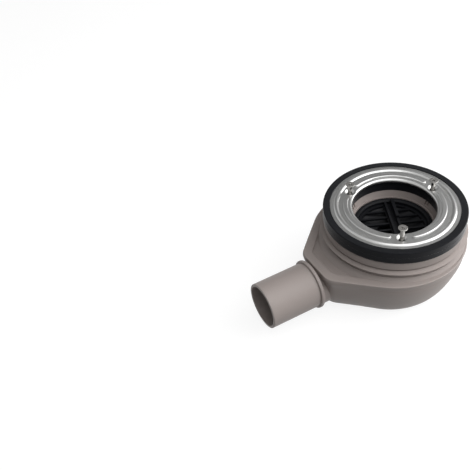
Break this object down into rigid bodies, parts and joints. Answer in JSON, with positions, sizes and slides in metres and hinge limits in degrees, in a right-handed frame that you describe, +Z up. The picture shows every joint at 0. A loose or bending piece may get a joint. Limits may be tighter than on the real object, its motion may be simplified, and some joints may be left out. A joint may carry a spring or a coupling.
{
  "type": "shower trap",
  "caption": "Low shower trap: grey bowl drawn out to a level outlet spigot, black tray gasket under a pressed steel clamp ring with screws, and a dark lift-out strainer insert.",
  "frame": {"origin": "on the inlet axis, at the flat underside of the bowl", "axes": "+Z up along the inlet axis, +X along the outlet spigot, the way the water leaves"},
  "size_m": [0.1949, 0.1323, 0.0869],
  "materials": {
    "body_plastic": "moulded polypropylene, warm grey, satin",
    "gasket_rubber": "black moulded rubber, slight sheen",
    "pressed_steel": "pressed stainless sheet, bright",
    "screw_steel": "plain stainless screw",
    "insert_brass": "turned brass",
    "insert_plastic": "black moulded polypropylene, satin",
    "seal_rubber": "black rubber ring"
  },
  "bodies": {
    "root": {"body": "body_plastic", "neck_ring": "body_plastic", "tray_gasket": "gasket_rubber", "clamp_flange": "pressed_steel", "screw_1": "screw_steel", "screw_2": "screw_steel", "screw_3": "screw_steel", "threaded_insert_1": "insert_brass", "threaded_insert_2": "insert_brass", "threaded_insert_3": "insert_brass", "strainer_insert": "insert_plastic", "insert_seal": "seal_rubber", "dip_tube": "insert_plastic", "seal_cup": "insert_plastic"}
  },
  "joints": []
}
